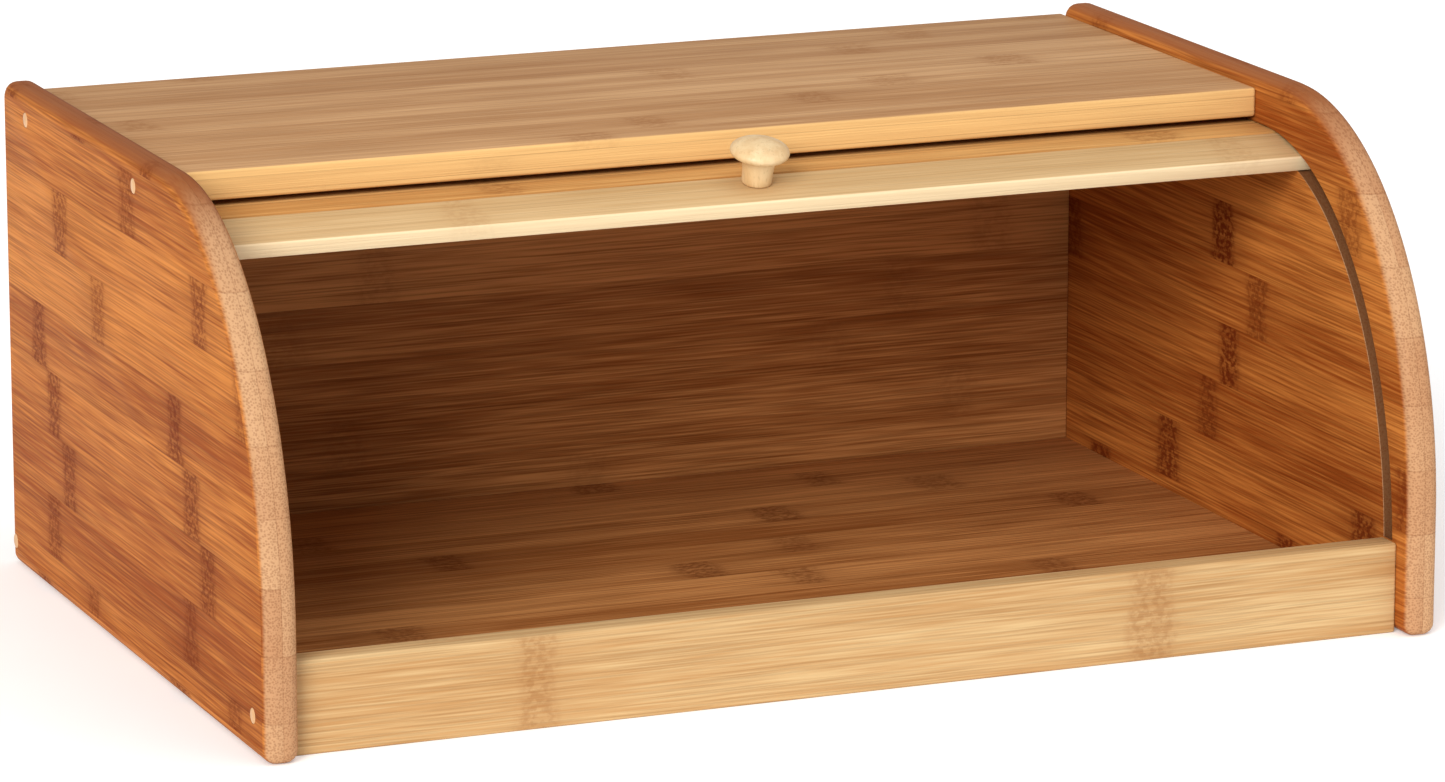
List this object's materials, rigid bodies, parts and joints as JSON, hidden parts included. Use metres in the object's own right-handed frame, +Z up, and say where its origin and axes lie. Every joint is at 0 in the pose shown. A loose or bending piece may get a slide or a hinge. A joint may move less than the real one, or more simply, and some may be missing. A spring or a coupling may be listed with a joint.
{
  "type": "bread box",
  "caption": "Bamboo bread box with quarter-round side panels, a flat top board and a slatted roll door with a turned knob that runs in grooves in the sides.",
  "frame": {"origin": "on the surface the box stands on, under the middle of the case", "axes": "+X along the box's width, to the right of someone facing its front; +Y from the front to the back; +Z up"},
  "size_m": [0.4, 0.268, 0.1655],
  "materials": {
    "side_bamboo": "satin lacquered carbonised bamboo",
    "top_bamboo": "satin lacquered bamboo strips",
    "inner_bamboo": "satin bamboo",
    "rail_bamboo": "satin natural bamboo",
    "lead_bamboo": "satin natural bamboo",
    "slat_bamboo": "satin bamboo",
    "dowel_wood": "plain light wood end grain",
    "knob_wood": "turned pale wood, satin",
    "canvas": "unbleached woven canvas",
    "steel": "zinc plated"
  },
  "bodies": {
    "case": {"side_panel_left": "side_bamboo", "side_panel_right": "side_bamboo", "top_board": "top_bamboo", "back_panel": "inner_bamboo", "floor_board": "inner_bamboo", "front_rail": "rail_bamboo", "dowel_top_front_left": "dowel_wood", "dowel_top_front_right": "dowel_wood", "dowel_top_rear_left": "dowel_wood", "dowel_top_rear_right": "dowel_wood", "dowel_rail_left": "dowel_wood", "dowel_rail_right": "dowel_wood", "dowel_back_left": "dowel_wood", "dowel_back_right": "dowel_wood"},
    "slat_11": {"slat_11": "slat_bamboo", "canvas_slat_11": "canvas"},
    "slat_10": {"slat_10": "slat_bamboo", "canvas_slat_10": "canvas"},
    "slat_09": {"slat_09": "slat_bamboo", "canvas_slat_09": "canvas"},
    "slat_08": {"slat_08": "slat_bamboo", "canvas_slat_08": "canvas"},
    "slat_07": {"slat_07": "slat_bamboo", "canvas_slat_07": "canvas"},
    "slat_06": {"slat_06": "slat_bamboo", "canvas_slat_06": "canvas"},
    "slat_05": {"slat_05": "slat_bamboo", "canvas_slat_05": "canvas"},
    "slat_04": {"slat_04": "slat_bamboo", "canvas_slat_04": "canvas"},
    "slat_03": {"slat_03": "slat_bamboo", "canvas_slat_03": "canvas"},
    "slat_02": {"slat_02": "slat_bamboo", "canvas_slat_02": "canvas"},
    "slat_01": {"slat_01": "slat_bamboo", "canvas_slat_01": "canvas"},
    "lead_slat": {"lead_slat": "lead_bamboo", "canvas_lead_slat": "canvas", "knob": "knob_wood", "knob_screw": "steel"}
  },
  "joints": [
    {"name": "roll_door", "type": "slide", "parent": "case", "child": "slat_11", "axis": [0, -1, 0], "range_m": [0, 0.13286]},
    {"name": "hinge_slat_10", "type": "hinge", "parent": "slat_11", "child": "slat_10", "pos_m": [0, 0.1107, 0.14405], "axis": [1, 0, 0], "range_deg": [0, 4.5]},
    {"name": "hinge_slat_09", "type": "hinge", "parent": "slat_10", "child": "slat_09", "pos_m": [0, 0.0964, 0.14405], "axis": [1, 0, 0], "range_deg": [0, 11.45]},
    {"name": "hinge_slat_08", "type": "hinge", "parent": "slat_09", "child": "slat_08", "pos_m": [0, 0.0821, 0.14405], "axis": [1, 0, 0], "range_deg": [0, 10.88]},
    {"name": "hinge_slat_07", "type": "hinge", "parent": "slat_08", "child": "slat_07", "pos_m": [0, 0.0678, 0.14405], "axis": [1, 0, 0], "range_deg": [0, 9.93]},
    {"name": "hinge_slat_06", "type": "hinge", "parent": "slat_07", "child": "slat_06", "pos_m": [0, 0.0535, 0.14405], "axis": [1, 0, 0], "range_deg": [0, 8.93]},
    {"name": "hinge_slat_05", "type": "hinge", "parent": "slat_06", "child": "slat_05", "pos_m": [0, 0.0392, 0.14405], "axis": [1, 0, 0], "range_deg": [0, 8.02]},
    {"name": "hinge_slat_04", "type": "hinge", "parent": "slat_05", "child": "slat_04", "pos_m": [0, 0.0249, 0.14405], "axis": [1, 0, 0], "range_deg": [0, 7.24]},
    {"name": "hinge_slat_03", "type": "hinge", "parent": "slat_04", "child": "slat_03", "pos_m": [0, 0.0106, 0.14405], "axis": [1, 0, 0], "range_deg": [0, 6.63]},
    {"name": "hinge_slat_02", "type": "hinge", "parent": "slat_03", "child": "slat_02", "pos_m": [0, -0.0037, 0.14405], "axis": [1, 0, 0], "range_deg": [0, 6.15]},
    {"name": "hinge_slat_01", "type": "hinge", "parent": "slat_02", "child": "slat_01", "pos_m": [0, -0.018, 0.14405], "axis": [1, 0, 0], "range_deg": [0, 3.83]},
    {"name": "hinge_lead_slat", "type": "hinge", "parent": "slat_01", "child": "lead_slat", "pos_m": [0, -0.03229, 0.14357], "axis": [1, 0, 0], "range_deg": [-6.22, 0]}
  ],
  "couplings": [
    {"joint": "hinge_slat_10", "follows": "roll_door", "rad_per_m": 0.57313},
    {"joint": "hinge_slat_09", "follows": "roll_door", "rad_per_m": 1.4687},
    {"joint": "hinge_slat_08", "follows": "roll_door", "rad_per_m": 1.3941},
    {"joint": "hinge_slat_07", "follows": "roll_door", "rad_per_m": 1.2726},
    {"joint": "hinge_slat_06", "follows": "roll_door", "rad_per_m": 1.144},
    {"joint": "hinge_slat_05", "follows": "roll_door", "rad_per_m": 1.026},
    {"joint": "hinge_slat_04", "follows": "roll_door", "rad_per_m": 0.92647},
    {"joint": "hinge_slat_03", "follows": "roll_door", "rad_per_m": 0.84695},
    {"joint": "hinge_slat_02", "follows": "roll_door", "rad_per_m": 0.78614},
    {"joint": "hinge_slat_01", "follows": "roll_door", "rad_per_m": 0.48722},
    {"joint": "hinge_lead_slat", "follows": "roll_door", "rad_per_m": -0.79524}
  ]
}
